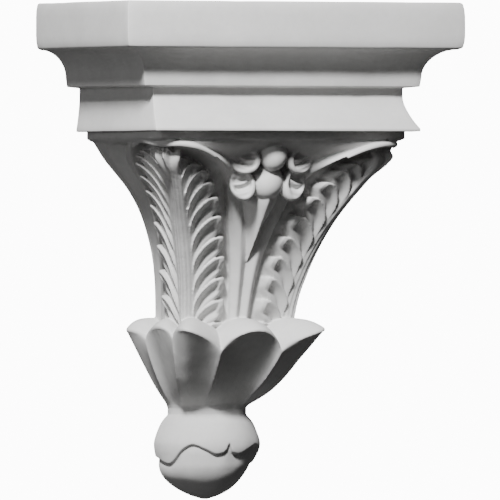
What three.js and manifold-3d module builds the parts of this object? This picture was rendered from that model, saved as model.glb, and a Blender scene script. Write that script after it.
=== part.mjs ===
// A floral wall corbel, cast in one piece: moulded top, leafed bell, petalled cup and hanging bud.
// Millimetres, +Z up. The wall is the plane y = 0, the piece stands forward of it along -y, and the
// origin is the mount point on the flat back, on the centre line.
import * as THREE from 'three';
import { mergeVertices } from 'three/addons/utils/BufferGeometryUtils.js';
import Module from 'manifold-3d';

const wasm = await Module();
wasm.setup();

// The moulded top: a thick slab, a cove, a fillet, a narrow band and a flare below it
const slabTop = 100;
const slabHalfWidth = 141.5;
const slabDepth = 169.5;
const slabHeight = 35.5;
const slabEdgeRound = 2;
const slabBulge = 1;
const coveHeight = 22.1;
const filletHeight = 6.5;
const filletInset = 25;
const bandHeight = 8;
const bandSideInset = 36.5;
const bandFrontInset = 34.5;
const flareHeight = 26.3;
const flareLip = 2.2;
const flareWallInset = 34;
const flareSideInset = 30.5;
const flareFrontInset = 15;

// The bell under it, from the underside of the top down to the cup
const bellHalfWidth = 106;
const bellDepth = 143.4;
const bellHeight = 142.3;
const bellRimHeight = 7;
const bellNarrowing = 1.9;
const lobesPerSide = 12;
const lobeRelief = 4.6;
const spineHalfWidth = 5.4;
const spineRelief = 5.2;
const frontRimShare = 0.76;
const hoodLip = 2.4;

// The stem and flower on the middle of the front
const ballRadius = 13;
const upperBallRadius = 10.8;
const ballStretch = 1.1;
const petalVeins = 3;
const petalRise = 5.5;
const petalRoot = 12;
const petalHollow = 5.2;
const petalTurn = 0.45;
const stemTop = 0.27;
const stemTip = 0.69;

// The cup of petals, its neck and the bud that hangs from it
const cupHalfWidth = 65.6;
const cupDepth = 100;
const cupHeight = 59;
const cupDomeHeight = 9.5;
const cupDish = 8;
const neckRadius = 31.3;
const neckHeight = 6;
const neckForward = 8.8;
const budRadius = 42.4;
const budHeight = 65;
const budForward = 5.2;
const budLean = 3.2;
const capThickness = 3;

// How finely each part is divided
const lobeRows = 4;
const stemRows = 8;
const lipSides = 6;
const lipRows = 9;
const cupPoints = 7;
const budPoints = 13;
const coveSteps = 5;
const leafStations = 12;

const bellTop = slabTop - slabHeight - coveHeight - filletHeight - bandHeight - flareHeight;
const cupTop = bellTop - bellHeight;
const cupRim = cupTop - cupDomeHeight;
const neckTop = cupRim - cupHeight;
const budTop = neckTop - neckHeight;

const mix = THREE.MathUtils.lerp;
const { clamp, degToRad, radToDeg, smoothstep } = THREE.MathUtils;

// A smooth curve through a few stations, each written as [station, value, value, ...].
function guide(...stations) {
  const last = stations.length - 1;
  const slopes = stations.map((station, i) => {
    const before = stations[Math.max(i - 1, 0)];
    const after = stations[Math.min(i + 1, last)];
    return station.map((value, c) => (after[c] - before[c]) / (after[0] - before[0]));
  });
  return (place) => {
    const next = stations.findIndex((station) => station[0] >= place);
    const i = clamp(next < 0 ? last : next, 1, last) - 1;
    const span = stations[i + 1][0] - stations[i][0];
    const t = clamp((place - stations[i][0]) / span, 0, 1);
    const rise = t * t * (3 - 2 * t);
    const start = span * t * (1 - t) * (1 - t);
    const end = span * t * t * (t - 1);
    return stations[i].slice(1).map((value, c) => (
      mix(value, stations[i + 1][c + 1], rise) + start * slopes[i][c + 1] + end * slopes[i + 1][c + 1]
    ));
  };
}

// A closed body from rings that have the same number of points, with both ends closed to a point.
function loft(rings) {
  const count = rings[0].length;
  const centre = (ring) => ring
    .reduce((sum, point) => sum.add(point), new THREE.Vector3())
    .divideScalar(count);
  const points = [...rings.flat(), centre(rings[0]), centre(rings.at(-1))];
  const triangles = [];
  const firstCap = rings.length * count;
  for (let i = 0; i < count; i += 1) {
    const j = (i + 1) % count;
    triangles.push(firstCap, j, i);
    for (let row = 0; row < rings.length - 1; row += 1) {
      const here = row * count;
      const next = here + count;
      triangles.push(here + i, here + j, next + j, here + i, next + j, next + i);
    }
    triangles.push(firstCap + 1, firstCap - count + i, firstCap - count + j);
  }
  return solid(new THREE.BufferGeometry().setFromPoints(points).setIndex(triangles));
}

// A closed three.js geometry as a solid that can be joined and cut.
function solid(geometry) {
  geometry.deleteAttribute('normal');
  geometry.deleteAttribute('uv');
  const merged = mergeVertices(geometry, 1e-3);
  const corner = [0, 1, 2].map(() => new THREE.Vector3());
  const index = merged.index.array;
  let volume = 0;
  const triVerts = [];
  for (let i = 0; i < index.length; i += 3) {
    const [a, b, c] = index.slice(i, i + 3);
    if (a !== b && b !== c && c !== a) {
      triVerts.push(a, b, c);
      [a, b, c].forEach((vertex, k) => corner[k].fromBufferAttribute(merged.attributes.position, vertex));
      volume += corner[0].dot(corner[1].cross(corner[2]));
    }
  }
  return new wasm.Manifold(new wasm.Mesh({
    numProp: 3,
    vertProperties: new Float32Array(merged.attributes.position.array),
    triVerts: new Uint32Array(volume > 0 ? triVerts : triVerts.reverse()),
  }));
}

// The half outline from the centre of the front to the wall, mirrored to the other half.
function mirrored(half) {
  const other = half.filter((point) => point.x > 1e-3).reverse();
  return [...half, ...other.map((point) => new THREE.Vector3(-point.x, point.y, point.z))];
}

// The moulded top, from the top face down: each level is a rectangle with its back on the wall
function mouldedTop() {
  const level = (sideInset, frontInset, z, wallInset = sideInset) => {
    const x = slabHalfWidth - sideInset;
    const y = frontInset - slabDepth;
    return [
      new THREE.Vector3(-x, y, z),
      new THREE.Vector3(x, y, z),
      new THREE.Vector3(slabHalfWidth - wallInset, 0, z),
      new THREE.Vector3(wallInset - slabHalfWidth, 0, z),
    ];
  };
  const slabFoot = slabTop - slabHeight;
  const filletTop = slabFoot - coveHeight;
  const bandTop = filletTop - filletHeight;
  const flareTop = bandTop - bandHeight;
  const rings = [
    level(slabBulge + slabEdgeRound, slabBulge + slabEdgeRound, slabTop),
    level(slabBulge, slabBulge, slabTop - slabEdgeRound),
    level(0, 0, slabTop - 0.3 * slabHeight),
    level(0, 0, slabFoot + 0.3 * slabHeight),
    level(slabBulge, slabBulge, slabFoot + slabEdgeRound),
    level(slabBulge + slabEdgeRound, slabBulge + slabEdgeRound, slabFoot),
  ];
  for (let i = 0; i <= coveSteps; i += 1) {
    const turn = (Math.PI / 2) * (i / coveSteps);
    const inset = mix(2 * slabEdgeRound, filletInset, Math.sin(turn));
    rings.push(level(inset, inset, slabFoot - 0.5 - (coveHeight - 0.5) * (1 - Math.cos(turn))));
  }
  rings.push(level(filletInset + 1, filletInset + 1, bandTop));
  rings.push(level(bandSideInset, bandFrontInset, bandTop - 1));
  for (let i = 0; i <= coveSteps; i += 1) {
    const share = (i / coveSteps) ** 1.6;
    const z = mix(flareTop, bellTop + flareLip, i / coveSteps);
    rings.push(level(
      mix(bandSideInset, flareSideInset, share),
      mix(bandFrontInset, flareFrontInset, share),
      z,
      mix(bandSideInset, flareWallInset, share),
    ));
  }
  rings.push(level(flareSideInset, flareFrontInset, bellTop, flareWallInset));
  return loft(rings);
}

// The bell: stations run up each corner leaf, from 0 in the cup to leafStations at its curled tip.
// A guide gives shares of the bell's half width, depth and height, the height from the top down.
const frontCentre = guide(
  [0, 0, 0.412, 1.145], [3, 0, 0.508, 0.78], [5, 0, 0.59, 0.54], [7, 0, 0.69, 0.3],
  [9, 0, 0.82, 0.153], [11, 0, 0.93, 0.075], [12, 0, 0.98, 0.04],
);
const frontEdge = guide(
  [0, 0.03, 0.43, 1.145], [3, 0.055, 0.54, 0.78], [5, 0.09, 0.622, 0.539], [7, 0.169, 0.742, 0.303],
  [9, 0.36, 0.875, 0.153], [11, 0.698, 1.011, 0.064], [12, 0.849, 0.995, 0.04],
);
const frontRim = guide(
  [0, 0.072, 0.415, 1.145], [3, 0.115, 0.497, 0.78], [5, 0.198, 0.598, 0.539], [7, 0.309, 0.745, 0.298],
  [9, 0.446, 0.952, 0.169], [11, 0.712, 1.037, 0.078], [12, 0.842, 1.011, 0.062],
);
const frontTips = guide(
  [0, 0.125, 0.426, 1.145], [3, 0.165, 0.521, 0.769], [5, 0.236, 0.622, 0.55], [7, 0.37, 0.761, 0.34],
  [9, 0.54, 0.862, 0.201], [11, 0.734, 0.894, 0.137], [12, 0.9, 0.962, 0.088],
);
const sideTips = guide(
  [0, 0.41, 0.213, 1.145], [3, 0.489, 0.255, 0.727], [5, 0.59, 0.34, 0.469], [7, 0.698, 0.399, 0.303],
  [9, 0.813, 0.457, 0.158], [11, 0.863, 0.633, 0.097], [12, 0.932, 0.926, 0.088],
);
const sideRim = guide(
  [0, 0.41, 0.176, 1.145], [3, 0.468, 0.223, 0.732], [5, 0.576, 0.287, 0.475], [7, 0.698, 0.351, 0.303],
  [9, 0.849, 0.426, 0.126], [11, 0.957, 0.718, 0.038], [12, 0.962, 0.93, 0.062],
);
const sideEdge = guide(
  [0, 0.388, 0.074, 1.145], [3, 0.421, 0.117, 0.732], [5, 0.525, 0.191, 0.475], [7, 0.647, 0.266, 0.303],
  [9, 0.82, 0.319, 0.131], [11, 0.978, 0.691, 0.019], [12, 0.975, 0.9, 0.035],
);
const wallEdge = guide(
  [0, 0.385, 0, 1.145], [3, 0.402, 0, 0.732], [5, 0.483, 0, 0.485], [7, 0.604, 0, 0.314],
  [9, 0.79, 0, 0.153], [11, 0.894, 0, 0.04], [12, 0.925, 0, 0.013],
);
// The leaf's spine by share of height, and the height at which each station leaves it.
const spineLine = guide(
  [0.06, 0.88, 0.91], [0.126, 0.919, 0.947], [0.17, 0.888, 0.93], [0.26, 0.781, 0.846], [0.512, 0.615, 0.642],
  [0.786, 0.499, 0.505], [1, 0.453, 0.434], [1.2, 0.453, 0.431],
);
const spineStart = guide(
  [0, 1.18], [3, 1.016], [5, 0.796], [7, 0.587], [9, 0.432], [11, 0.26], [12, 0.099],
);
// The depth of the sunk ground round the lobes: it deepens under the hood.
const groundDepth = guide([0, 3], [5, 4.5], [8, 7], [10, 10], [12, 5]);
const wedgeDepth = guide([0, 0], [6, 1], [8.5, 9], [11, 14], [12, 5]);
const flangeDepth = guide([0, 0.8], [4, 0.8], [5.5, 2.5], [7, 4.5], [9, 3], [12, 0.5]);

// The carving of one lobe, from its raised crest down to the next: a scoop that is steep at the top.
const lobeSection = guide([0, 1], [0.25, 0.15], [0.5, 0], [0.75, 0.3], [1, 1]);

function spinePoint(down) {
  return bellPoint([...spineLine(down), down]);
}

function bellPoint([across, forward, down]) {
  const narrowing = 1 - bellNarrowing * Math.max(0, down - 1.02);
  return new THREE.Vector3(
    across * bellHalfWidth * narrowing,
    -forward * bellDepth * narrowing,
    bellTop - down * bellHeight,
  );
}

// A point moved out from the bell's upright axis, or in towards it when the distance is negative.
function raised(point, distance) {
  const out = new THREE.Vector3(point.x, point.y + 0.22 * bellDepth, 0).normalize();
  return point.clone().addScaledVector(out, distance);
}

// One half of the leaf at one station, from the edge of its frame to the edge of its spine. The rim
// is where the frame ends and drops to the sunk ground, and the tip is where the lobes end.
function leafSide(lobesUp, edgeGuide, rimGuide, tipGuide, rimShare) {
  const station = (leafStations * lobesUp) / lobesPerSide;
  const edge = bellPoint(edgeGuide(station));
  const rim = edge.clone().lerp(bellPoint(rimGuide(station)), rimShare);
  const tip = bellPoint(tipGuide(station));
  const [start] = spineStart(station);
  const ridge = spinePoint(start);
  const aside = tip.clone().sub(ridge).setZ(0).normalize();
  const root = raised(ridge, -spineRelief).addScaledVector(aside, spineHalfWidth);
  const [sunk] = groundDepth(station);
  const fromCrest = Math.ceil(lobesUp) - lobesUp;
  const relief = lobeRelief * lobeSection(fromCrest)[0];
  const reach = 1 - 0.16 * Math.max(0, fromCrest - 0.4);
  const bend = raised(spinePoint(mix(start, tipGuide(station)[2], 0.6)), -spineRelief).lerp(tip, 0.3);
  const lobe = (share) => {
    const t = share * reach;
    const point = root.clone().multiplyScalar((1 - t) ** 2);
    point.addScaledVector(bend, 2 * t * (1 - t)).addScaledVector(tip, t * t);
    return raised(point, relief * smoothstep(share, 0, 0.35));
  };
  return [
    raised(edge, -flangeDepth(station)[0]).setX(0.8 * edge.x),
    edge,
    rim,
    raised(rim.clone().lerp(tip, 0.3), -0.5 * sunk),
    raised(rim.clone().lerp(tip, 0.75), -sunk),
    raised(tip, -sunk),
    lobe(1),
    lobe(0.66),
    lobe(0.33),
    root,
    raised(ridge, -0.3 * spineRelief).addScaledVector(aside, 0.6 * spineHalfWidth),
  ];
}

function bellRing(lobesUp) {
  const station = (leafStations * lobesUp) / lobesPerSide;
  const rimShare = mix(frontRimShare, 1, smoothstep(station, 7, 11));
  const front = leafSide(lobesUp, frontEdge, frontRim, frontTips, rimShare);
  const side = leafSide(lobesUp, sideEdge, sideRim, sideTips, 1).slice(1).reverse();
  const wall = bellPoint(wallEdge(station));
  const strip = wall.clone().lerp(side.at(-1), 0.3);
  const [sunk] = wedgeDepth(station);
  return mirrored([
    bellPoint(frontCentre(station)),
    ...front,
    spinePoint(spineStart(station)[0]),
    ...side,
    raised(strip.clone().lerp(side.at(-1), 0.35), -sunk),
    strip,
    wall,
  ]);
}

function bell() {
  const rings = [];
  for (let row = lobeRows - 1; row < lobesPerSide * lobeRows; row += 1) {
    rings.push(bellRing(row / lobeRows));
  }
  // The leaves close inwards under the moulded top, in the shade of their hoods
  const roof = (z) => rings.at(-1).map((point) => new THREE.Vector3(0.93 * point.x, 0.93 * point.y, z));
  return loft([...rings, roof(bellTop - 1), roof(bellTop + 1)]);
}

// The hood's lip: a round bead that joins the front and side frames in an arch over the leaf's tip
const hoodArch = guide(
  [0, 0.52, 0.985, 0.14], [1, 0.62, 1.012, 0.104], [2, 0.72, 1.022, 0.08], [3, 0.83, 1.005, 0.068],
  [4, 0.905, 0.965, 0.07], [5, 0.945, 0.9, 0.066], [6, 0.955, 0.81, 0.055], [7, 0.94, 0.7, 0.05],
  [8, 0.905, 0.56, 0.075],
);

function hood(side) {
  const path = Array.from({ length: lipRows + 1 }, (_, i) => bellPoint(hoodArch((8 * i) / lipRows)));
  const rings = path.map((point, i) => {
    const along = path[Math.min(i + 1, lipRows)].clone().sub(path[Math.max(i - 1, 0)]).normalize();
    const level = new THREE.Vector3(0, 0, 1).cross(along).normalize();
    const upright = along.clone().cross(level);
    const thick = hoodLip * Math.sin(Math.PI * (0.08 + (0.84 * i) / lipRows)) ** 0.4;
    return Array.from({ length: lipSides }, (_unused, k) => {
      const turn = (2 * Math.PI * k) / lipSides;
      const bead = point.clone()
        .addScaledVector(level, thick * Math.cos(turn))
        .addScaledVector(upright, thick * Math.sin(turn));
      return bead.setX(side * bead.x);
    });
  });
  return loft(rings);
}

// The thin rim that the bell spreads into under the moulded top
function bellRim() {
  const ring = (scale, z) => mirrored([
    [0, 1], [0.5, 1], [0.93, 1.005], [0.975, 0.995], [1, 0.95], [0.965, 0.5], [0.93, 0],
  ].map(([across, forward]) => new THREE.Vector3(
    scale * across * bellHalfWidth,
    -scale * forward * bellDepth,
    z,
  )));
  return loft([
    ring(0.9, bellTop - bellRimHeight - 2.5),
    ring(0.975, bellTop - bellRimHeight),
    ring(1, bellTop - bellRimHeight + 1.5),
    ring(1, bellTop + 1),
  ]);
}

// The tapering stem on the front, from its point in the groove up to the flower: the half width, the
// place of its edges and the place of its ridge, by share of the bell's height
const stemLine = guide(
  [0.27, 0.18, 0.72, 0.85], [0.385, 0.13, 0.69, 0.812], [0.525, 0.065, 0.585, 0.7], [0.6, 0.035, 0.556, 0.635],
  [0.69, 0.003, 0.53, 0.548],
);

function stem() {
  const rings = [];
  for (let row = 0; row <= stemRows; row += 1) {
    const down = mix(stemTip, stemTop, row / stemRows);
    const [halfWidth, edge, ridge] = stemLine(down);
    const flank = mix(edge, ridge, 0.72);
    rings.push([
      bellPoint([-halfWidth, edge, down]),
      bellPoint([-0.35 * halfWidth, flank, down]),
      bellPoint([0, ridge, down]),
      bellPoint([0.35 * halfWidth, flank, down]),
      bellPoint([halfWidth, edge, down]),
      bellPoint([0, edge - 0.2, down]),
    ]);
  }
  return loft(rings);
}

// A ball of the flower, drawn out a little upwards.
function ball(radius, [across, forward, down]) {
  const sphere = new THREE.SphereGeometry(radius, 12, 8);
  sphere.scale(1, ballStretch, 1);
  sphere.rotateX(Math.PI / 2);
  sphere.translate(...bellPoint([across, forward, down]).toArray());
  return solid(sphere);
}

// A petal: a flattened dome hollowed towards its middle, with raised veins that run to its root.
function petal(width, length, turn, [across, forward, down]) {
  const dome = new THREE.SphereGeometry(1, 14, 8);
  dome.rotateX(Math.PI / 2);
  const at = dome.attributes.position;
  for (let i = 0; i < at.count; i += 1) {
    const [x, y, z] = [at.getX(i), at.getY(i), at.getZ(i)];
    const inside = Math.max(0, 1 - x * x - y * y);
    const vein = 0.5 + 0.5 * Math.cos(petalVeins * Math.PI * y);
    const dished = z * petalRise - inside * petalHollow * (1 - 0.5 * vein);
    at.setXYZ(i, x * width, y * length, z > 0 ? dished : z * petalRoot);
  }
  dome.rotateZ(turn);
  dome.rotateX(Math.PI / 2);
  dome.rotateZ(Math.sign(across) * petalTurn);
  dome.translate(...bellPoint([across, forward, down]).toArray());
  return solid(dome);
}

function flower() {
  const made = [
    ball(ballRadius, [0, 0.787, 0.265]),
    ball(upperBallRadius, [0, 0.9, 0.13]),
  ];
  [-1, 1].forEach((side) => {
    made.push(petal(12, 9.5, side * 0.35, [side * 0.215, 0.88, 0.15]));
    made.push(petal(10, 13.2, side * -0.3, [side * 0.205, 0.8, 0.28]));
  });
  return made;
}

// The cup: its rim runs from notch to notch over the tip of each petal, by shares of half width, depth
// and height. The first petal is on the middle of the front, the last against the wall, and only the
// half of each that lies on this side is listed.
const cupNotches = [[0.384, 0.855, -0.25], [0.86, 0.656, -0.09], [0.884, 0.206, -0.1]];
const cupTips = [[0, 1, 0], [0.872, 0.947, 0], [0.93, 0.473, 0.04], [1, 0, 0]];
const cupHollows = [0.36, 0.18, 0.18, 0.12];
// The angle round the neck at which each angle round the rim ends: the arrises slant.
const toNeck = guide([0, 0], [16.4, 31], [40.7, 60], [70.4, 80], [90, 90]);
// How straight the outer faces rise, by the angle round the rim: 1 is straight, and less is fuller.
const straightness = guide([0, 0.98], [18, 0.92], [38, 0.67], [60, 0.8], [90, 0.84]);

function cupRimHalf() {
  const place = ([across, forward, up]) => new THREE.Vector3(
    across * cupHalfWidth,
    -forward * cupDepth,
    cupRim + up * cupHeight,
  );
  const firstNotch = cupNotches[0];
  const lastNotch = cupNotches.at(-1);
  const notches = [
    [-firstNotch[0], firstNotch[1], firstNotch[2]],
    ...cupNotches,
    [lastNotch[0], -lastNotch[1], lastNotch[2]],
  ];
  const half = [];
  cupTips.forEach((tip, number) => {
    const from = place(notches[number]);
    const to = place(notches[number + 1]);
    const bulge = place(tip).sub(from.clone().lerp(to, 0.5));
    const first = number === 0 ? 0.5 : 0;
    const atWall = number === cupTips.length - 1;
    const last = atWall ? 0.5 : 1;
    const steps = Math.round(cupPoints * (last - first));
    for (let i = 0; i < steps + (atWall ? 1 : 0); i += 1) {
      const t = mix(first, last, i / steps);
      const swell = Math.sin(Math.PI * t);
      const point = from.clone().lerp(to, t);
      point.x += bulge.x * swell;
      point.y += bulge.y * swell;
      point.z += bulge.z * swell ** 0.65;
      half.push({ point, swell, hollow: cupHollows[number] * swell ** 0.75 });
    }
  });
  half.at(-1).point.y = 0;
  return half;
}

// One point of the cup's outer face, a share of the way up from the neck to its place on the rim.
function cupPoint({ point, swell, hollow }, up) {
  const angle = radToDeg(Math.atan2(point.x, -point.y));
  const neckAngle = degToRad(toNeck(angle)[0]);
  const neckX = neckRadius * Math.sin(neckAngle);
  const neckY = -(neckForward + neckRadius) * Math.cos(neckAngle);
  const foot = 1 - Math.exp(-up / 0.08);
  const arris = 0.3 * (1 - swell) ** 2 * up * Math.sqrt(1 - up);
  const out = up ** straightness(angle)[0] * foot + arris - hollow * up * (1 - up);
  return new THREE.Vector3(mix(neckX, point.x, out), mix(neckY, point.y, out), mix(neckTop, point.z, up));
}

function cup() {
  const rim = cupRimHalf();
  const rings = [];
  const mirroredRing = (make) => mirrored(rim.map(make));
  // Upwards from the neck to the rim, then inwards over the petals to the bell
  [0, 0.06, 0.15, 0.3, 0.5, 0.7, 0.85, 0.94, 1].forEach((up) => {
    rings.push(mirroredRing((place) => cupPoint(place, up)));
  });
  [0.12, 0.3, 0.6, 1].forEach((share) => {
    rings.push(mirroredRing(({ point, swell }) => new THREE.Vector3(
      point.x * mix(1, 0.6, share),
      point.y * mix(1, 0.55, share),
      mix(point.z, mix(cupTop - cupDish, cupTop, swell), 1 - (1 - share) ** 4),
    )));
  });
  const floor = cupTop - cupDish - 2;
  rings.push(mirroredRing(({ point }) => new THREE.Vector3(0.5 * point.x, 0.5 * point.y, floor)));
  return loft(rings);
}

// The neck and the bud. The bud's cap ends in a lip that waves round it, by degrees from the front.
const lipLine = guide(
  [0, 0.35], [4, 0.42], [14, 0.46], [26, 0.4], [39, 0.35], [50, 0.41], [61, 0.54], [70, 0.58], [90, 0.5],
);
const budOutline = guide(
  [0, 0.725], [0.05, 0.8], [0.1, 0.86], [0.2, 0.935], [0.29, 0.985], [0.35, 1], [0.43, 0.98],
  [0.53, 0.92], [0.63, 0.855], [0.74, 0.74], [0.83, 0.595], [0.9, 0.435], [0.96, 0.235], [1, 0.025],
);

function bud() {
  const ring = (shareAt, extra) => {
    const half = [];
    for (let i = 0; i <= budPoints; i += 1) {
      const turn = (90 * i) / budPoints;
      const share = shareAt(lipLine(turn)[0]);
      const radius = budOutline(share)[0] * budRadius + extra;
      const forward = mix(neckForward, budForward, clamp(share * 3, 0, 1));
      const y = Math.min(0, -(forward + radius) * Math.cos(degToRad(turn)));
      half.push(new THREE.Vector3(radius * Math.sin(degToRad(turn)), y, budTop - share * budHeight));
    }
    half.at(-1).y = 0;
    const whole = mirrored(half);
    whole.forEach((point) => {
      const down = clamp((budTop - point.z) / budHeight, 0, 1);
      point.x -= budLean * Math.sin(Math.PI * smoothstep(down, 0.35, 1.1));
    });
    return whole;
  };
  const rings = [
    ring(() => 0, 0).map((point) => new THREE.Vector3(point.x, point.y, neckTop + 1)),
    ring(() => 0, 0),
  ];
  [0.04, 0.15, 0.35, 0.55, 0.75, 0.92].forEach((along) => {
    rings.push(ring((lip) => lip * along, 0));
  });
  rings.push(ring((lip) => lip, -0.4 * capThickness));
  rings.push(ring((lip) => lip + 0.008, -capThickness));
  [0.15, 0.35, 0.55, 0.75, 0.9, 1].forEach((along) => {
    rings.push(ring((lip) => mix(lip + 0.008, 1, along), -capThickness * (1 - along) ** 4));
  });
  return loft(rings);
}

// The triangles of a solid as a three.js geometry.
function surface(body) {
  const { numProp, vertProperties, triVerts } = body.getMesh();
  const corners = new Float32Array(3 * (vertProperties.length / numProp));
  corners.forEach((_, i) => {
    corners[i] = vertProperties[numProp * Math.floor(i / 3) + (i % 3)];
  });
  const geometry = new THREE.BufferGeometry();
  geometry.setAttribute('position', new THREE.BufferAttribute(corners, 3));
  geometry.setIndex(new THREE.BufferAttribute(triVerts, 1));
  return geometry;
}

const parts = [mouldedTop(), bell(), bellRim(), hood(-1), hood(1), stem(), ...flower(), cup(), bud()];
const joined = wasm.Manifold.union(parts);
// The back is cut off flat along the wall.
const wallSide = new THREE.BoxGeometry(4 * slabHalfWidth, 2 * slabDepth, 8 * slabHalfWidth);
wallSide.translate(0, slabDepth, 0);
const cut = joined.subtract(solid(wallSide));
// Pockets that the joins close off inside are filled: only the outer skin is kept.
const [piece] = solid(surface(cut)).decompose().sort((a, b) => b.volume() - a.volume());

const casting = surface(piece);
casting.computeVertexNormals();
const primer = new THREE.MeshStandardMaterial({ color: 0xc4c3c1, roughness: 0.72, metalness: 0 });
const corbel = new THREE.Mesh(casting, primer);
corbel.name = 'corbel';

const group = new THREE.Group();
group.add(corbel);
export default group;
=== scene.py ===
import math

import bpy
import numpy as np
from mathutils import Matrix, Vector, noise


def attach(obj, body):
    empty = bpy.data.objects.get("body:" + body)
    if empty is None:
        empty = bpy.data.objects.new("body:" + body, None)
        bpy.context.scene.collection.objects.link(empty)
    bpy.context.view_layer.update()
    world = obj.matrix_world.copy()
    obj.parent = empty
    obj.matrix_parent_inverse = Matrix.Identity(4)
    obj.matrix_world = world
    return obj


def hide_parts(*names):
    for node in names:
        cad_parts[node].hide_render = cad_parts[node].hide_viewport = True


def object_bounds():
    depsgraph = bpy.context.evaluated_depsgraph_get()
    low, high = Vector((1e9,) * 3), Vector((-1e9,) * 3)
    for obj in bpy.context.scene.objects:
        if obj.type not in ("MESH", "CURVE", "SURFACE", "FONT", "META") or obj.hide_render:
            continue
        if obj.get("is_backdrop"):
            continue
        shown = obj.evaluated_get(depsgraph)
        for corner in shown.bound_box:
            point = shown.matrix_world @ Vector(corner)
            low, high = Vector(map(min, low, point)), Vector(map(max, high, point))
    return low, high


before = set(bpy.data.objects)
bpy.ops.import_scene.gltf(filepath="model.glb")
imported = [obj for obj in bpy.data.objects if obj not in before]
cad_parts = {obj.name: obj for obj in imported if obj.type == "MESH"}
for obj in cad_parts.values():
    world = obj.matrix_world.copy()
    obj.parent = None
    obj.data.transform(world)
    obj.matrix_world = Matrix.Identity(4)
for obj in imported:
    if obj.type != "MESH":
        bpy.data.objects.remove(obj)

cad_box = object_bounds()

# The moulded top: a thick slab that carries a shelf, with a cove, a fillet, a narrow band and a
# flare under it. It is part of the one casting, and the primer has softened its corners. Sizes are
# in millimetres: depths run from the wall face, and heights from the mount point.
MM = 0.001
SLAB_TOP, SLAB_HALF_WIDTH, SLAB_DEPTH, SLAB_HEIGHT = 100, 141.5, 169.5, 35.5
SLAB_ROUND, SLAB_BULGE = 2, 1
COVE_HEIGHT, FILLET_HEIGHT, FILLET_INSET = 22.1, 6.5, 25
BAND_HEIGHT, BAND_SIDE_INSET, BAND_FRONT_INSET = 8, 36.5, 34.5
FLARE_HEIGHT, FLARE_LIP, FLARE_CURVE = 26.3, 2.2, 1.6
FLARE_SIDE_INSET, FLARE_FRONT_INSET, FLARE_WALL_INSET = 30.5, 15, 34
CURVE_STEPS = 10
SOFT_EDGE, SOFT_EDGE_ANGLE = 0.9, 24
LONG_EDGE, CUTS_ACROSS, CUTS_DEEP = 30, 50, 30
PAST_WALL = 3  # every form runs on this far behind the wall face, and is cut off there at the end

slab_foot = SLAB_TOP - SLAB_HEIGHT
fillet_top = slab_foot - COVE_HEIGHT
band_top = fillet_top - FILLET_HEIGHT
flare_top = band_top - BAND_HEIGHT
bell_top = flare_top - FLARE_HEIGHT


def mix(a, b, share):
    return a + (b - a) * share


# The slab's face from an edge towards its middle: the inset, and the distance from that edge.
slab_face = [
    (SLAB_BULGE + SLAB_ROUND, 0),
    (mix(SLAB_BULGE + SLAB_ROUND, SLAB_BULGE, 0.7), 0.3 * SLAB_ROUND),
    (SLAB_BULGE, SLAB_ROUND),
    (0.3 * SLAB_BULGE, 0.16 * SLAB_HEIGHT),
    (0, 0.3 * SLAB_HEIGHT),
]
# Each level of the moulding is its side inset, front inset and height.
levels = [(inset, inset, SLAB_TOP - in_from_edge) for inset, in_from_edge in slab_face]
levels += [(inset, inset, slab_foot + in_from_edge) for inset, in_from_edge in slab_face[::-1]]
for step in range(CURVE_STEPS + 1):
    turn = math.pi / 2 * step / CURVE_STEPS
    inset = mix(2 * SLAB_ROUND, FILLET_INSET, math.sin(turn))
    levels.append((inset, inset, slab_foot - 0.5 - (COVE_HEIGHT - 0.5) * (1 - math.cos(turn))))
levels.append((FILLET_INSET + 1, FILLET_INSET + 1, band_top))
levels.append((BAND_SIDE_INSET, BAND_FRONT_INSET, band_top - 1))
for step in range(CURVE_STEPS + 1):
    share = (step / CURVE_STEPS) ** FLARE_CURVE
    height = mix(flare_top, bell_top + FLARE_LIP, step / CURVE_STEPS)
    levels.append((
        mix(BAND_SIDE_INSET, FLARE_SIDE_INSET, share),
        mix(BAND_FRONT_INSET, FLARE_FRONT_INSET, share),
        height,
    ))
levels.append((FLARE_SIDE_INSET, FLARE_FRONT_INSET, bell_top))

bpy.ops.object.select_all(action="DESELECT")
bpy.ops.mesh.primitive_plane_add(size=1, location=(0, -0.5, SLAB_TOP * MM))
moulded_top = bpy.context.object
bpy.ops.object.transform_apply(location=True)
bpy.ops.object.mode_set(mode="EDIT")
side_inset, front_inset, height = levels[0]
width, depth = 2 * (SLAB_HALF_WIDTH - side_inset), SLAB_DEPTH - front_inset
bpy.ops.transform.resize(value=(width * MM, depth * MM, 1), center_override=(0, 0, 0))
for side_inset, front_inset, lower in levels[1:]:
    new_width, new_depth = 2 * (SLAB_HALF_WIDTH - side_inset), SLAB_DEPTH - front_inset
    fall = (0, 0, (lower - height) * MM)
    bpy.ops.mesh.extrude_region_move(TRANSFORM_OT_translate={"value": fall})
    growth = (new_width / width, new_depth / depth, 1)
    bpy.ops.transform.resize(value=growth, center_override=(0, 0, 0))
    width, depth, height = new_width, new_depth, lower
bpy.ops.mesh.select_all(action="SELECT")
bpy.ops.mesh.normals_make_consistent(inside=False)
bpy.ops.object.mode_set(mode="OBJECT")
# The flare narrows a little towards the wall, and the back runs on behind the wall face.
for vertex in moulded_top.data.vertices:
    if vertex.co.y > -1e-6:
        fallen = (flare_top - vertex.co.z / MM) / (FLARE_HEIGHT - FLARE_LIP)
        fallen = max(0, min(1, fallen)) ** FLARE_CURVE
        pulled = fallen * (FLARE_WALL_INSET - FLARE_SIDE_INSET) * MM
        vertex.co.x -= math.copysign(pulled, vertex.co.x)
        vertex.co.y = PAST_WALL * MM


def apply_modifier(piece, kind, **settings):
    bpy.ops.object.select_all(action="DESELECT")
    piece.select_set(True)
    bpy.context.view_layer.objects.active = piece
    modifier = piece.modifiers.new(kind.lower(), kind)
    for name, value in settings.items():
        setattr(modifier, name, value)
    bpy.ops.object.modifier_apply(modifier=modifier.name)


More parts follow.
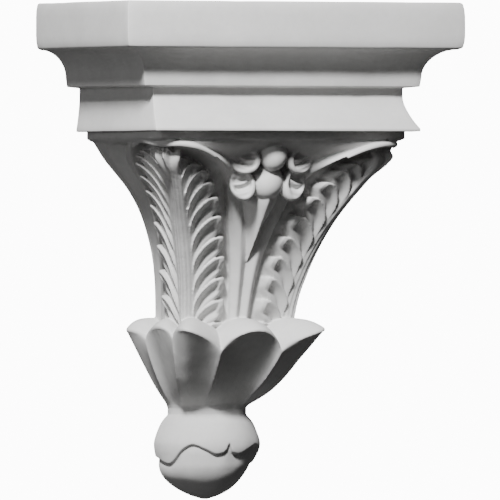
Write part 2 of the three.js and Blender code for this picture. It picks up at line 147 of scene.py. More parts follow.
apply_modifier(
    moulded_top, "BEVEL", width=SOFT_EDGE * MM, segments=3,
    limit_method="ANGLE", angle_limit=math.radians(SOFT_EDGE_ANGLE),
)


def cut_edges(piece, axis, cuts):
    """Divides the long edges that run along an axis, so that their faces can take slow waves."""
    bpy.context.tool_settings.mesh_select_mode = (False, True, False)
    for item in [*piece.data.polygons, *piece.data.edges, *piece.data.vertices]:
        item.select = False
    corners = piece.data.vertices
    for side in piece.data.edges:
        run = corners[side.vertices[1]].co - corners[side.vertices[0]].co
        side.select = abs(run[axis]) > 0.9 * run.length and run.length > LONG_EDGE * MM
    bpy.ops.object.mode_set(mode="EDIT")
    bpy.ops.mesh.subdivide(number_cuts=cuts)
    bpy.ops.object.mode_set(mode="OBJECT")


cut_edges(moulded_top, 0, CUTS_ACROSS)
cut_edges(moulded_top, 1, CUTS_DEEP)

# The bell and its two corner leaves: the trumpet shape that spreads from the cup up to the moulded
# top. Each leaf has a smooth raised frame, a ribbed spine and twelve pairs of hollowed lobes that
# overlap upwards. It was carved in the pattern and is cast as one with the rest.
BELL_HALF_WIDTH, BELL_DEPTH, BELL_HEIGHT, BELL_RIM = 106, 143.4, 142.3, 7
LOBES, ROWS_PER_LOBE, ACROSS_LOBE = 12, 16, 22
LOBE_RELIEF, SPINE_RELIEF, SLIT_DEPTH = 5.6, 5.4, 1.2
RIB_DEPTH, OUTER_RIB_DEPTH = 1.8, 2
FRAME_ROUND, FRAME_SET_BACK = 0.7, 0.3
FRONT_RIM_SHARE, SIDE_RIM_SHARE = 0.76, 0.95
AXIS_FORWARD = 0.22
FOOT_NARROWING = 1.9
FIRST_ROW = 12
cup_top = bell_top - BELL_HEIGHT


def guide(*stations):
    """A smooth curve through a few stations, each written as (station, value, value, ...)."""
    table = np.array(stations, dtype=float)
    places, values = table[:, 0], table[:, 1:]
    last = len(places) - 1
    before = [max(i - 1, 0) for i in range(last + 1)]
    after = [min(i + 1, last) for i in range(last + 1)]
    slopes = (values[after] - values[before]) / (places[after] - places[before])[:, None]

    def at(place):
        i = min(max(int(np.searchsorted(places, place)), 1), last) - 1
        span = places[i + 1] - places[i]
        t = min(max((place - places[i]) / span, 0), 1)
        start, end = span * t * (1 - t) ** 2, span * t * t * (t - 1)
        found = mix(values[i], values[i + 1], t * t * (3 - 2 * t))
        found = found + start * slopes[i] + end * slopes[i + 1]
        return found if len(found) > 1 else float(found[0])

    return at


def eased(value, low, high):
    t = np.clip((value - low) / (high - low), 0, 1)
    return t * t * (3 - 2 * t)


def hump(value, centre, spread):
    return np.exp(-(((value - centre) / spread) ** 2))


# Stations run up each leaf from 0 in the cup to 12 at its tip. These guides give shares of the
# bell's half width, depth and height, with the height taken from the top down.
front_centre = guide(
    (0, 0, 0.412, 1.145), (3, 0, 0.508, 0.78), (5, 0, 0.59, 0.54), (7, 0, 0.69, 0.3),
    (9, 0, 0.82, 0.153), (11, 0, 0.93, 0.075), (12, 0, 0.98, 0.04),
)
front_edge = guide(
    (0, 0.03, 0.43, 1.145), (3, 0.055, 0.54, 0.78), (5, 0.09, 0.622, 0.539),
    (7, 0.169, 0.742, 0.303), (9, 0.36, 0.875, 0.153), (11, 0.698, 1.011, 0.064),
    (12, 0.849, 0.995, 0.04),
)
front_rim = guide(
    (0, 0.072, 0.415, 1.145), (3, 0.115, 0.497, 0.78), (5, 0.198, 0.598, 0.539),
    (7, 0.309, 0.745, 0.298), (9, 0.446, 0.952, 0.169), (11, 0.712, 1.037, 0.078),
    (12, 0.842, 1.011, 0.062),
)
front_tips = guide(
    (0, 0.125, 0.426, 1.145), (3, 0.165, 0.521, 0.769), (5, 0.236, 0.622, 0.55),
    (7, 0.37, 0.761, 0.34), (9, 0.54, 0.862, 0.201), (11, 0.734, 0.894, 0.137),
    (12, 0.9, 0.962, 0.088),
)
side_tips = guide(
    (0, 0.41, 0.213, 1.145), (3, 0.489, 0.255, 0.727), (5, 0.59, 0.34, 0.469),
    (7, 0.698, 0.399, 0.303), (9, 0.813, 0.457, 0.158), (11, 0.863, 0.633, 0.097),
    (12, 0.932, 0.926, 0.088),
)
side_rim = guide(
    (0, 0.41, 0.176, 1.145), (3, 0.468, 0.223, 0.732), (5, 0.576, 0.287, 0.475),
    (7, 0.698, 0.351, 0.303), (9, 0.849, 0.426, 0.126), (11, 0.957, 0.718, 0.038),
    (12, 0.962, 0.93, 0.062),
)
side_edge = guide(
    (0, 0.388, 0.074, 1.145), (3, 0.421, 0.117, 0.732), (5, 0.525, 0.191, 0.475),
    (7, 0.647, 0.266, 0.303), (9, 0.82, 0.319, 0.131), (11, 0.978, 0.691, 0.019),
    (12, 0.975, 0.9, 0.035),
)
wall_edge = guide(
    (0, 0.385, 0, 1.145), (3, 0.402, 0, 0.732), (5, 0.483, 0, 0.485), (7, 0.604, 0, 0.314),
    (9, 0.79, 0, 0.153), (11, 0.894, 0, 0.04), (12, 0.925, 0, 0.013),
)
spine_line = guide(
    (0.06, 0.88, 0.91), (0.126, 0.919, 0.947), (0.17, 0.888, 0.93), (0.26, 0.781, 0.846),
    (0.512, 0.615, 0.642), (0.786, 0.499, 0.505), (1, 0.453, 0.434), (1.2, 0.453, 0.431),
)
spine_start = guide(
    (0, 1.18), (3, 1.016), (5, 0.796), (7, 0.587), (9, 0.432), (11, 0.26), (12, 0.099),
)
spine_half_width = guide((0.1, 4), (0.26, 7), (0.5, 7.8), (0.8, 6.6), (1.2, 5.4))
ground_depth = guide((0, 4.5), (3, 5.5), (5, 6.5), (8, 9), (10, 11), (12, 5))
wedge_depth = guide((0, 0), (6, 1), (8.5, 9), (11, 14), (12, 5))
flange_depth = guide((0, 0.8), (4, 0.8), (5.5, 2.5), (7, 4.5), (9, 3), (12, 0.5))

# One lobe from its crest down to the next: a proud crest, a steep hollow and a scoop that rises to
# a shelf. Its reach rounds its end, like the bowl of a spoon.
lobe_section = guide(
    (0, 0.98), (0.07, 1), (0.15, 0.84), (0.25, 0.1), (0.36, -0.12), (0.5, 0), (0.7, 0.3),
    (0.82, 0.34), (0.92, 0.12), (1, 0.3),
)
lobe_reach = guide(
    (0, 0.9), (0.1, 0.98), (0.3, 1), (0.5, 0.98), (0.7, 0.92), (0.86, 0.82), (1, 0.7),
)


def bell_point(across, forward, down):
    narrowing = 1 - FOOT_NARROWING * max(0, down - 1.02)
    return np.array((
        across * BELL_HALF_WIDTH * narrowing,
        -forward * BELL_DEPTH * narrowing,
        bell_top - down * BELL_HEIGHT,
    ))


def raised(points, distance):
    """Points moved out from the bell's upright axis, or in towards it."""
    out = points * (1, 1, 0) + (0, AXIS_FORWARD * BELL_DEPTH, 0)
    out = out / np.linalg.norm(out, axis=-1, keepdims=True)
    return points + out * np.asarray(distance, dtype=float)[..., None]


def spine_point(down):
    return bell_point(*spine_line(down), down)


def leaf_side(station, edge_guide, rim_guide, tip_guide, rim_share):
    """One half of the leaf at a station, from the edge of its frame to the middle of its spine."""
    frame_edge = bell_point(*edge_guide(station))
    rim = mix(frame_edge, bell_point(*rim_guide(station)), rim_share)
    tip = bell_point(*tip_guide(station))
    start = spine_start(station)
    ridge = spine_point(start)
    aside = (tip - ridge) * (1, 1, 0)
    aside = aside / np.linalg.norm(aside)
    half = spine_half_width(start)
    root = raised(ridge, -SPINE_RELIEF) + aside * half
    sunk = ground_depth(station)
    foot = raised(frame_edge, -flange_depth(station)) * (0.8, 1, 1)

    t = np.array((0, 0.08, 0.25, 0.45, 0.65, 0.85, 0.96))
    rounding = FRAME_ROUND * np.sin(math.pi * t) ** 0.6 - FRAME_SET_BACK
    band = raised(mix(frame_edge, rim, t[:, None]), rounding)
    rolled = [mix(foot, band[0], t) for t in (0, 0.3, 0.6, 0.85)]
    t = np.array((0.03, 0.08, 0.15, 0.24, 0.35, 0.5, 0.7, 0.9))
    slope = raised(mix(rim, tip, t[:, None]), -sunk * eased(t, -0.02, 0.35))

    down_lobe = math.ceil(station) - station
    reach = lobe_reach(down_lobe)
    bend = raised(spine_point(mix(start, tip_guide(station)[2], 0.6)), -SPINE_RELIEF)
    bend = mix(bend, tip, 0.3)

    def base(t):
        return root * (1 - t) ** 2 + bend * 2 * t * (1 - t) + tip * t**2

    share = 1 - np.linspace(0, 1, ACROSS_LOBE + 1)[:-1] ** 1.3
    crest = lobe_section(down_lobe)
    rim_round = 0.9 * eased(share, 0.84, 0.94) * (1 - eased(down_lobe, 0.3, 0.75))
    height = np.maximum(crest, rim_round) * LOBE_RELIEF * (1 - 0.3 * eased(share, 0.93, 1))
    height = height * eased(share, 0, 0.42)
    slit = hump(down_lobe, 0.4, 0.17) * eased(share, 0.06, 0.2) * (1 - eased(share, 0.36, 0.62))
    lobe = raised(base((share * reach)[:, None]), height - SLIT_DEPTH * slit)
    end = [
        raised(tip, -sunk),
        raised(base(min(1, reach + 0.03)), -0.9 * sunk),
        raised(base(min(1, reach + 0.015)), -0.3 * sunk),
    ]

    w = np.linspace(1, 0, 14)[:-1]
    ribs = OUTER_RIB_DEPTH * hump(w, 0.28, 0.12) + RIB_DEPTH * hump(w, 0.62, 0.12)
    spine = raised(ridge + aside * (half * w)[:, None], -SPINE_RELIEF * w**3.2 - ribs)
    return np.vstack([rolled, band, slope, end, lobe, spine])


def mirrored(half):
    """A half outline, from the centre of the front to behind the wall, with its other half."""
    other = half[half[:, 0] > 1e-3][::-1]
    return np.vstack([half, other * (-1, 1, 1)])


def bell_ring(station):
    front_share = mix(FRONT_RIM_SHARE, 1, eased(station, 7, 11))
    front = leaf_side(station, front_edge, front_rim, front_tips, front_share)
    # The side's outline starts at its frame, because the wall strip stands where its foot would be.
    side = leaf_side(station, side_edge, side_rim, side_tips, SIDE_RIM_SHARE)[4:][::-1]
    wall = bell_point(*wall_edge(station))
    side_lip = side[-1]
    strip = mix(wall, side_lip, 0.3)
    t = np.array((0.1, 0.25, 0.45, 0.65, 0.85))
    sunk = wedge_depth(station) * np.sin(math.pi * t) ** 0.7
    wedge = raised(mix(side_lip, strip, t[:, None]), -sunk)
    behind = wall + (0, PAST_WALL, 0)
    return mirrored(np.vstack([
        bell_point(*front_centre(station)), front, spine_point(spine_start(station)), side,
        wedge, strip, mix(strip, wall, 0.5), wall, behind,
    ]))


def closed_body(name, rings):
    """A closed mesh through rings that have the same number of points, with both ends filled."""
    rings = np.array(rings)
    rows, count = rings.shape[:2]
    corner = np.arange(rows * count).reshape(rows, count)
    following = np.roll(corner, -1, axis=1)
    faces = np.stack([corner[:-1], following[:-1], following[1:], corner[1:]], axis=-1)
    faces = [*faces.reshape(-1, 4).tolist(), corner[0][::-1].tolist(), corner[-1].tolist()]
    data = bpy.data.meshes.new(name)
    data.from_pydata((rings.reshape(-1, 3) * MM).tolist(), [], faces)
    body = bpy.data.objects.new(name, data)
    bpy.context.collection.objects.link(body)
    bpy.ops.object.select_all(action="DESELECT")
    body.select_set(True)
    bpy.context.view_layer.objects.active = body
    bpy.ops.object.mode_set(mode="EDIT")
    bpy.ops.mesh.select_all(action="SELECT")
    bpy.ops.mesh.quads_convert_to_tris()
    bpy.ops.object.mode_set(mode="OBJECT")
    return body


last_row = LOBES * ROWS_PER_LOBE - 2
rings = [bell_ring(row / ROWS_PER_LOBE) for row in range(FIRST_ROW, last_row)]
roof = rings[-1][:, :2] * 0.93
for height in (bell_top - 1, bell_top + 5):
    rings.append(np.column_stack([roof, np.full(len(roof), height)]))
bell = closed_body("bell", rings)

# The thin rim that the bell spreads into under the moulded top.
rim_line = np.array([
    (0, 1), (0.5, 1), (0.9, 1.003), (0.955, 0.995), (0.985, 0.975), (1, 0.93), (0.975, 0.6),
    (0.93, 0),
])


def rim_ring(scale, height):
    ring = scale * rim_line * (BELL_HALF_WIDTH, -BELL_DEPTH)
    ring = np.vstack([ring, (ring[-1, 0], PAST_WALL)])
    return mirrored(np.column_stack([ring, np.full(len(ring), height)]))


bell_rim = closed_body("bell_rim", [
    rim_ring(0.9, bell_top - BELL_RIM - 2.5), rim_ring(0.975, bell_top - BELL_RIM),
    rim_ring(1, bell_top - BELL_RIM + 1.5), rim_ring(1, bell_top + 4),
])


def round_bar(name, path, radius):
    """A round bar along a path of points, thinner at its ends."""
    path = np.array(path)
    rings = []
    for i, point in enumerate(path):
        along = path[min(i + 1, len(path) - 1)] - path[max(i - 1, 0)]
        along = along / np.linalg.norm(along)
        level = np.cross(along, (0, 0, 1))
        level = level / np.linalg.norm(level)
        upright = np.cross(level, along)
        thick = radius * math.sin(math.pi * (0.08 + 0.84 * i / (len(path) - 1))) ** 0.4
        turns = np.linspace(0, 2 * math.pi, 14, endpoint=False)[:, None]
        rings.append(point + thick * (level * np.cos(turns) + upright * np.sin(turns)))
    return closed_body(name, rings)


# The hood's lip: it joins the front and side frames in one band that arches over the leaf's tip.
HOOD_LIP = 2.4
hood_arch = guide(
    (0, 0.52, 0.985, 0.14), (1, 0.62, 1.012, 0.104), (2, 0.72, 1.022, 0.08),
    (3, 0.83, 1.005, 0.068), (4, 0.905, 0.965, 0.07), (5, 0.945, 0.9, 0.066),
    (6, 0.955, 0.81, 0.055), (7, 0.94, 0.7, 0.05), (8, 0.905, 0.56, 0.075),
)
hood_path = np.array([bell_point(*hood_arch(step)) for step in np.linspace(0, 8, 60)])

# The leaf's blunt end lobe, which curls forward out of the hood. By the depth below the mount
# point, these are its half width and the place of its face, in towards the axis from the corner.
END_FACE, END_ROOT, END_GROOVE = 3.6, 7, 1.1
end_lobe_line = guide(
    (9, 1.5, -14), (10, 5, -12.5), (12, 9, -10), (16, 10.6, -7.6), (20, 9.8, -7.6),
    (25, 7.8, -10.4), (32, 5.6, -17.6), (40, 4, -28),
)


def end_lobe(side):
    corner = np.array((side * 0.919 * BELL_HALF_WIDTH, -0.947 * BELL_DEPTH, 0))
    out = corner + (0, 0.3 * BELL_DEPTH, 0)
    out = out / np.linalg.norm(out)
    along = np.array((-out[1], out[0], 0))
    rings = []
    for fall in np.linspace(9, 40, 36):
        half, place = end_lobe_line(fall)
        turns = np.linspace(0, 2 * math.pi, 32, endpoint=False)
        x, y = np.cos(turns), np.sin(turns)
        groove = END_GROOVE * hump(x, 0, 0.3)
        rounded = END_FACE * np.maximum(y, 0) ** 0.8
        front = np.where(y > 0, rounded - groove, END_ROOT * y) - END_FACE
        ring = corner + along * (half * x)[:, None] + out * (place + front)[:, None]
        rings.append(ring - (0, 0, fall))
    return closed_body("end_lobe", rings)


leaf_bodies = []
for side in (-1, 1):
    leaf_bodies.append(round_bar("hood_lip", hood_path * (side, 1, 1), HOOD_LIP))
    leaf_bodies.append(end_lobe(side))

# The stem and flower on the front: a tapering V of a stem, two balls one above the other, and four
# dished petals with raised edges and two or three carved veins. They are cast with the bell.
BALL, UPPER_BALL, BALL_STRETCH = 13, 10.8, 1.1
PETAL_RISE, PETAL_ROOT, PETAL_HOLLOW, VEIN, PETAL_LEAN, PETAL_TURN = 5.5, 12, 5, 2.2, 2.6, 0.45
stem_line = guide(
    (0.27, 0.18, 0.72, 0.85), (0.385, 0.13, 0.69, 0.812), (0.525, 0.065, 0.585, 0.7),
    (0.6, 0.035, 0.556, 0.635), (0.7, 0.001, 0.53, 0.545),
)
stem_section = [
    (-1, 0), (-0.7, 0.36), (-0.38, 0.7), (-0.16, 0.92), (0, 1), (0.16, 0.92), (0.38, 0.7),
    (0.7, 0.36), (1, 0),
]
rings = []
for down in np.linspace(0.7, 0.27, 48):
    half, low, high = stem_line(down)
    ring = [bell_point(half * across, mix(low, high, up), down) for across, up in stem_section]
    rings.append([*ring, bell_point(0, low - 0.2, down)])
stem = closed_body("stem", rings)


def ball(radius, place):
    centre = bell_point(*place) * MM
    bpy.ops.object.select_all(action="DESELECT")
    bpy.ops.mesh.primitive_uv_sphere_add(
        segments=48, ring_count=32, radius=radius * MM, location=centre
    )
    bpy.ops.transform.resize(value=(1, 1, BALL_STRETCH), center_override=centre)
    bpy.ops.object.transform_apply(location=True, rotation=True, scale=True)
    return bpy.context.object


def petal(half_width, half_length, turn, place):
    """A dished petal: its edge is raised, and veins run along its hollow towards the balls."""
    bpy.ops.object.select_all(action="DESELECT")
    bpy.ops.mesh.primitive_uv_sphere_add(segments=64, ring_count=48, radius=1)
    dish = bpy.context.object
    side = math.copysign(1, place[0])
    across, out = math.cos(side * PETAL_TURN), math.sin(side * PETAL_TURN)
    centre = bell_point(*place)
    for vertex in dish.data.vertices:
        x, y, z = vertex.co
        edge = math.hypot(x, y)
        hollow = 1 - float(eased(edge, 0.55, 0.86))
        vein = math.cos(3.6 * math.pi * (y - 0.3 * x * x)) * (1 - float(eased(abs(x), 0.5, 0.85)))
        face = z * (PETAL_RISE if z > 0 else PETAL_ROOT)
        if z > 0:
            face += -PETAL_HOLLOW * hollow * z + VEIN * hollow * vein + PETAL_LEAN * x * side * z
        wide, tall = x * half_width, y * half_length
        level = wide * math.cos(turn) - tall * math.sin(turn)
        height = wide * math.sin(turn) + tall * math.cos(turn)
        shift = (level * across + face * out, -face * across + level * out, height)
        vertex.co = (centre + shift) * MM
    return dish


flower = [ball(BALL, (0, 0.787, 0.265)), ball(UPPER_BALL, (0, 0.875, 0.13))]
for side in (-1, 1):
    flower.append(petal(12.6, 11.2, side * 0.35, (side * 0.222, 0.865, 0.15)))
    flower.append(petal(10, 13.4, side * -0.3, (side * 0.205, 0.81, 0.28)))

# The cup: petals that rise out of the neck, curl outwards and stand round the foot of the bell.
# They have hollow outer faces that meet in arrises, blunt edges and domed tops.
CUP_HALF_WIDTH, CUP_DEPTH, CUP_HEIGHT, CUP_DOME = 65.6, 100, 59, 9.5
CUP_EDGE, CUP_DISH, ARRIS, POINTS_PER_PETAL = 2, 8, 0.3, 36
NECK_RADIUS, NECK_HEIGHT, NECK_FORWARD = 31.3, 6, 8.8
cup_rim = cup_top - CUP_DOME
neck_top = cup_rim - CUP_HEIGHT
# Each petal runs from one notch to the next, past its tip: shares of half width, depth and height.
# The last number is how deep the petal's outer face is hollowed.
cup_petals = [
    ((-0.384, 0.855, -0.25), (0, 1, 0), (0.384, 0.855, -0.25), 0.29),
    ((0.384, 0.855, -0.25), (0.872, 0.947, 0), (0.86, 0.656, -0.09), 0.15),
    ((0.86, 0.656, -0.09), (0.93, 0.473, 0.04), (0.884, 0.206, -0.1), 0.18),
    ((0.884, 0.206, -0.1), (1, 0, 0), (0.884, -0.206, -0.1), 0.12),
]
rim_points, swells, hollows = [], [], []
for number, (start, tip, end, hollow) in enumerate(cup_petals):
    start, tip, end = (np.array(place) for place in (start, tip, end))
    first, last = (0.5 if number == 0 else 0), (0.5 if number == 3 else 1)
    steps = round(POINTS_PER_PETAL * (last - first))
    for t in np.linspace(first, last, steps + 1)[: None if number == 3 else -1]:
        swell = math.sin(math.pi * t)
        place = mix(start, end, t) + (tip - mix(start, end, 0.5)) * (swell, swell, swell**0.65)
        rim_points.append(place * (CUP_HALF_WIDTH, -CUP_DEPTH, CUP_HEIGHT) + (0, 0, cup_rim))
        swells.append(swell)
        hollows.append(hollow * swell**0.75)
rim_points = np.array(rim_points)
rim_points[-1, 1] = 0
swells, hollows = np.array(swells)[:, None], np.array(hollows)[:, None]
angles = np.arctan2(rim_points[:, 0], -rim_points[:, 1])
# The petals narrow less at the sides of the neck than at the front, so the arrises slant.
to_neck = guide((0, 0), (16.4, 31), (40.7, 60), (70.4, 80), (90, 90))
neck_angles = np.radians([to_neck(angle) for angle in np.degrees(angles)])
neck_points = np.column_stack([
    NECK_RADIUS * np.sin(neck_angles),
    -(NECK_FORWARD + NECK_RADIUS) * np.cos(neck_angles),
    np.full(len(angles), neck_top),
])


def past_wall(half):
    return mirrored(np.vstack([half, half[-1] * (1, 0, 1) + (0, PAST_WALL, 0)]))


fuller = guide((0, 0.98), (18, 0.92), (38, 0.67), (60, 0.8), (90, 0.84))
fullness = np.array([fuller(angle) for angle in np.degrees(angles)])[:, None]
rises = (
    0, 0.015, 0.03, 0.05, 0.08, 0.12, 0.17, 0.24, 0.32, 0.4,
    0.5, 0.6, 0.7, 0.78, 0.84, 0.89, 0.93, 0.96, 0.985, 1,
)
rings = []
for up in rises:
    share = 1 - up
    flute = hollows * up * share**1.1
    arris = ARRIS * (1 - swells) ** 2 * up * share**0.5
    out = up**fullness * (1 - math.exp(-up / 0.08)) + arris - flute
    half = mix(neck_points, rim_points, out)
    half[:, 2] = mix(rim_points[:, 2], neck_top, share)
    rings.append(past_wall(half))
# The edge is blunt, and the top dips inside it towards the bell.
rings[-1] = rings[-1] - (0, 0, CUP_EDGE / 2)
rings.append(past_wall(rim_points + (0, 0, CUP_EDGE / 2)))
for share in (0.03, 0.07, 0.12, 0.2, 0.3, 0.4, 0.5, 0.6, 0.7, 0.8, 0.9, 1):
    half = rim_points * (mix(1, 0.6, share), mix(1, 0.55, share), 1)
    inner = mix(cup_top - CUP_DISH, cup_top, swells[:, 0])
    half[:, 2] = mix(rim_points[:, 2] + CUP_EDGE / 2, inner, 1 - (1 - share) ** 4)
    rings.append(past_wall(half))
rings.append(past_wall(rim_points * (0.5, 0.5, 0) + (0, 0, cup_top - 10)))
cup = closed_body("cup", rings)

# The neck and the bud: a smooth half-round bud against the wall, whose cap ends in a thin wavy lip
# with a cusp at the front. The wall side is flat, and the tip is slightly worn.
BUD_RADIUS, BUD_HEIGHT, BUD_FORWARD, BUD_LEAN, CAP, CUSP = 42.4, 65, 5.2, 3.2, 3, 0.095
bud_top = neck_top - NECK_HEIGHT
lip_wave = guide(
    (0, 0.43), (6, 0.445), (14, 0.46), (26, 0.4), (39, 0.35), (50, 0.41), (61, 0.54), (70, 0.58),
    (90, 0.5),
)
bud_outline = guide(
    (0, 0.725), (0.05, 0.8), (0.1, 0.86), (0.2, 0.935), (0.29, 0.985), (0.35, 1), (0.43, 0.98),
    (0.53, 0.92), (0.63, 0.855), (0.74, 0.74), (0.83, 0.595), (0.9, 0.435), (0.96, 0.235),
    (1, 0.025),
)


def bud_ring(share_at, extra):
    """A ring round the bud, at the share of its height that each turn's lip and cusp give."""
    half = []
    for turn in np.linspace(0, 90, 73):
        share = share_at(lip_wave(turn), CUSP * hump(turn, 0, 3))
        radius = bud_outline(share) * BUD_RADIUS + extra
        forward = mix(NECK_FORWARD, BUD_FORWARD, min(1, 3 * share))
        sideways = radius * math.sin(math.radians(turn))
        outward = min(0, -(forward + radius) * math.cos(math.radians(turn)))
        half.append((sideways, outward, bud_top - share * BUD_HEIGHT))
    ring = past_wall(np.array(half))
    down = np.clip((bud_top - ring[:, 2]) / BUD_HEIGHT, 0, 1)
    ring[:, 0] -= BUD_LEAN * np.sin(math.pi * eased(down, 0.35, 1.1))
    return ring


def on_cap(along):
    """From the bud's top at 0 to the cap's wavy lip at 1."""
    return lambda lip, cusp: (lip - cusp) * along


def under_cap(along):
    """From just under the cap's lip at 0 to the bud's tip at 1."""
    return lambda lip, cusp: mix(lip - cusp * max(0, 1 - 12 * along) + 0.008, 1, along)


bud_head = bud_ring(on_cap(0), 0)
rings = [bud_head * (1, 1, 0) + (0, 0, neck_top + 1), bud_head]
rings += [bud_ring(on_cap(along), 0) for along in np.linspace(0.03, 0.97, 26)]
rings += [bud_ring(on_cap(0.99), -0.1 * CAP), bud_ring(on_cap(1), -0.4 * CAP)]
for along in np.linspace(0, 1, 42):
    rings.append(bud_ring(under_cap(along), -CAP * (1 - along) ** 4))
bud = closed_body("bud", rings)

# The casting: everything above is one piece in the real thing. The carved forms flow together in
# the mould, the primer softens their sharp edges, and the back is cut flat for the wall.
VOXEL = 0.7
MOST_TRIANGLES = 165000
ROUNDED_UNDER = 42  # edges that turn less than this many degrees are shaded as one surface
bpy.ops.object.select_all(action="DESELECT")
for body in (bell, bell_rim, stem, cup, bud, *leaf_bodies, *flower):
    body.select_set(True)
bpy.context.view_layer.objects.active = bell
bpy.ops.object.join()
casting = bell
casting.name = casting.data.name = "corbel_casting"
apply_modifier(casting, "REMESH", mode="VOXEL", voxel_size=VOXEL * MM)
apply_modifier(casting, "SMOOTH", factor=0.5, iterations=2)
triangles = 2 * len(casting.data.polygons)
apply_modifier(casting, "DECIMATE", ratio=min(1, MOST_TRIANGLES / triangles))
apply_modifier(casting, "BOOLEAN", object=moulded_top, operation="UNION", solver="MANIFOLD")
bpy.data.objects.remove(moulded_top)
bpy.ops.object.select_all(action="DESELECT")
bpy.ops.mesh.primitive_cube_add(size=1, location=(0, 0.5, 0))
wall_side = bpy.context.object
apply_modifier(casting, "BOOLEAN", object=wall_side, operation="DIFFERENCE", solver="MANIFOLD")
bpy.data.objects.remove(wall_side)

# The hand-finished pattern shows as slow waves of a few tenths of a millimetre on every face.
WAVE, WAVE_LENGTH = 0.36, 30
count = len(casting.data.vertices)
points, normals = np.empty(3 * count), np.empty(3 * count)
casting.data.vertices.foreach_get("co", points)
casting.data.vertices.foreach_get("normal", normals)
points, normals = points.reshape(-1, 3), normals.reshape(-1, 3)
places = [Vector(point) for point in points / (WAVE_LENGTH * MM)]
waves = np.array([noise.noise(place) + 0.5 * noise.noise(place * 2.7) for place in places])
moved = points + normals * (waves * WAVE * MM)[:, None]
moved = np.clip(moved, *(np.array(corner) for corner in cad_box))
on_wall = points[:, 1] > -1e-6
moved[on_wall] = points[on_wall]
casting.data.vertices.foreach_set("co", moved.ravel())
casting.data.update()
bpy.ops.object.select_all(action="DESELECT")
casting.select_set(True)
bpy.context.view_layer.objects.active = casting
bpy.ops.object.shade_smooth_by_angle(angle=math.radians(ROUNDED_UNDER))
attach(casting, "root")
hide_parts("corbel")


# The finish: a pale grey factory primer over dense cast urethane, matte and faintly uneven, with
# tiny casting pits and specks under it.
class Value:
    """A number in a material: Python's operators add the Math nodes."""

    def __init__(self, tree, socket):
        self.tree, self.socket = tree, socket

    def _maths(self, operation, first, second):
        result = self.tree.node("ShaderNodeMath", {"operation": operation}, {0: first, 1: second})
        return Value(self.tree, result.outputs[0])

    def __add__(self, other):
        return self._maths("ADD", self, other)

    __radd__ = __add__

    def __sub__(self, other):
        return self._maths("SUBTRACT", self, other)

    def __rsub__(self, other):
        return self._maths("SUBTRACT", other, self)

    def __mul__(self, other):
        return self._maths("MULTIPLY", self, other)

    __rmul__ = __mul__


class Finish:
    """The nodes of a material or of the surround."""

    def __init__(self, owner):
        owner.use_nodes = True
        self.nodes, self.links = owner.node_tree.nodes, owner.node_tree.links
        self.shader = self.nodes.get("Principled BSDF")

    def node(self, kind, settings, sockets):
        made = self.nodes.new(kind)
        for name, value in settings.items():
            if name == "stops":
                for element, (place, colour) in zip(made.color_ramp.elements, value):
                    element.position, element.color = place, (colour, colour, colour, 1)
            else:
                setattr(made, name, value)
        for name, value in sockets.items():
            self.feed(made, name, value)
        return made

    def feed(self, node, name, value):
        if isinstance(value, Value):
            value = value.socket
        if isinstance(value, bpy.types.NodeSocket):
            self.links.new(value, node.inputs[name])
        else:
            node.inputs[name].default_value = value


DARKER_GREY, PALER_GREY, WARM_WHITE = 0.5, 0.6, (1.0, 0.995, 0.985, 1)
pale_grey = bpy.data.materials.new("pale_grey_primer")
primer = Finish(pale_grey)
on_casting = primer.node("ShaderNodeTexCoord", {}, {}).outputs["Object"]


def mottle(scale, detail):
    """Soft patches between 0 and 1, smaller as the scale rises."""
    made = primer.node(
        "ShaderNodeTexNoise", {},
        {"Vector": on_casting, "Scale": scale, "Detail": detail, "Roughness": 0.55},
    )
    return Value(primer, made.outputs["Fac"])


def spots(scale, size):
    """1 at the middle of scattered spots and 0 away from them."""
    cells = primer.node("ShaderNodeTexVoronoi", {}, {"Vector": on_casting, "Scale": scale})
    ramp = primer.node(
        "ShaderNodeValToRGB", {"stops": [(0, 1), (size, 0)]}, {"Fac": cells.outputs["Distance"]}
    )
    return Value(primer, ramp.outputs["Color"])


clouds = mottle(22, 4)
grain = mottle(900, 3)
skin = mottle(160, 4)
pits = spots(70, 0.06) * (mottle(9, 1) * 4 - 1.6)
shade = clouds * 0.5 + skin * 0.3 + grain * 0.2 - pits * 0.1
ramp = primer.node(
    "ShaderNodeValToRGB", {"stops": [(0.3, DARKER_GREY), (0.7, PALER_GREY)]}, {"Fac": shade}
)
warmth = primer.node(
    "ShaderNodeMix", {"data_type": "RGBA", "blend_type": "MULTIPLY"},
    {"Factor": 1.0, 6: ramp.outputs["Color"], 7: WARM_WHITE},
)
primer.feed(primer.shader, "Base Color", warmth.outputs[2])
primer.feed(primer.shader, "Roughness", 0.62 + clouds * 0.16 - grain * 0.04)
relief = skin * 0.35 + grain * 0.12 - pits * 0.6
bumped = primer.node("ShaderNodeBump", {}, {"Height": relief, "Strength": 0.35, "Distance": 0.0008})
primer.feed(primer.shader, "Normal", bumped.outputs["Normal"])
primer.shader.inputs["IOR"].default_value = 1.45
primer.shader.inputs["Specular IOR Level"].default_value = 0.35
casting.data.materials.clear()
casting.data.materials.append(pale_grey)

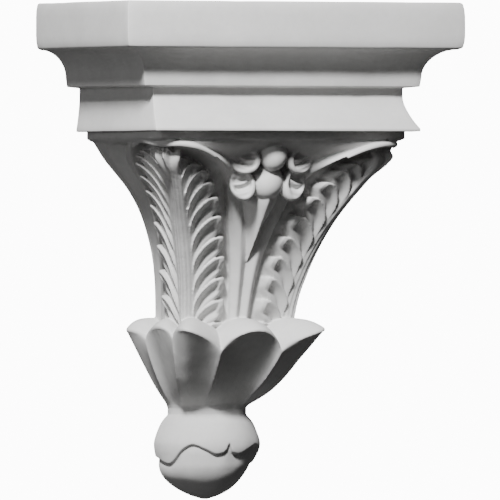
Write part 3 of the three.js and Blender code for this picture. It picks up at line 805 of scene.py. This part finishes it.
# The studio: a plain pale floor well below the piece, and a white surround that the camera sees as
# paper white but that gives only a faint light, so that the lamps model the carving.
FLOOR_SIZE, FLOOR_HEIGHT = 6, -2.2
SEEN_WHITE, FAINT_LIGHT = 12, 0.055
WHITE, PAPER = (1, 1, 1, 1), (0.8, 0.8, 0.8, 1)
CASTING_MIDDLE = Vector((0, -0.08, -0.09))
bpy.ops.object.select_all(action="DESELECT")
bpy.ops.mesh.primitive_plane_add(size=FLOOR_SIZE, location=(0, 0, FLOOR_HEIGHT))
floor = bpy.context.object
floor.name = "studio_floor"
pale_paper = bpy.data.materials.new("pale_paper")
paper = Finish(pale_paper)
paper.shader.inputs["Base Color"].default_value = PAPER
paper.shader.inputs["Roughness"].default_value = 0.9
floor.data.materials.append(pale_paper)
floor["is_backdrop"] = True

bpy.context.scene.world = bpy.data.worlds.new("white_surround")
surround = Finish(bpy.context.scene.world)
surround.nodes.clear()
seen = surround.node("ShaderNodeBackground", {}, {"Strength": SEEN_WHITE, "Color": WHITE})
lit = surround.node("ShaderNodeBackground", {}, {"Strength": FAINT_LIGHT, "Color": WHITE})
ray = surround.node("ShaderNodeLightPath", {}, {})
choice = surround.node(
    "ShaderNodeMixShader", {},
    {0: ray.outputs["Is Camera Ray"], 1: lit.outputs[0], 2: seen.outputs[0]},
)
surround.node("ShaderNodeOutputWorld", {}, {0: choice.outputs[0]})


def soft_light(name, azimuth, elevation, distance, size, power):
    """A square lamp aimed at the middle of the casting, from an angle round and an angle up."""
    a, e = math.radians(azimuth), math.radians(elevation)
    back = Vector((math.sin(a) * math.cos(e), -math.cos(a) * math.cos(e), math.sin(e)))
    data = bpy.data.lights.new(name, "AREA")
    data.size, data.energy, data.spread = size, power, math.radians(45)
    lamp = bpy.data.objects.new(name, data)
    lamp.location = CASTING_MIDDLE + back * distance
    lamp.rotation_euler = back.to_track_quat("Z", "Y").to_euler()
    bpy.context.collection.objects.link(lamp)


soft_light("key_light", -37, 38, 2.2, 0.3, 8.2)
soft_light("low_light", -66, 8, 2.4, 0.8, 0.7)

# The camera: level, 25 degrees round to the left of the middle, through a very long lens.
AZIMUTH, DISTANCE, FRAME_WIDTH = -25, 12, 0.3815
FRAME_MIDDLE_RIGHT, FRAME_MIDDLE_HEIGHT, FRAME_MIDDLE_OUT = 0.0355, -0.0888, 0.09
turn = math.radians(AZIMUTH)
right = Vector((math.cos(turn), math.sin(turn), 0))
back = Vector((math.sin(turn), -math.cos(turn), 0))
view = bpy.data.cameras.new("photo_camera")
view.lens = view.sensor_width * DISTANCE / FRAME_WIDTH
view.clip_end = 100
camera = bpy.data.objects.new("photo_camera", view)
frame_middle = right * FRAME_MIDDLE_RIGHT + Vector((0, 0, FRAME_MIDDLE_HEIGHT))
camera.location = frame_middle + back * (DISTANCE + FRAME_MIDDLE_OUT)
camera.rotation_euler = back.to_track_quat("Z", "Y").to_euler()
bpy.context.collection.objects.link(camera)
bpy.context.scene.camera = camera

seen_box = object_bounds()
sizes = {"cad": cad_box, "seen": seen_box}
sizes = {name: [list(corner) for corner in box] for name, box in sizes.items()}
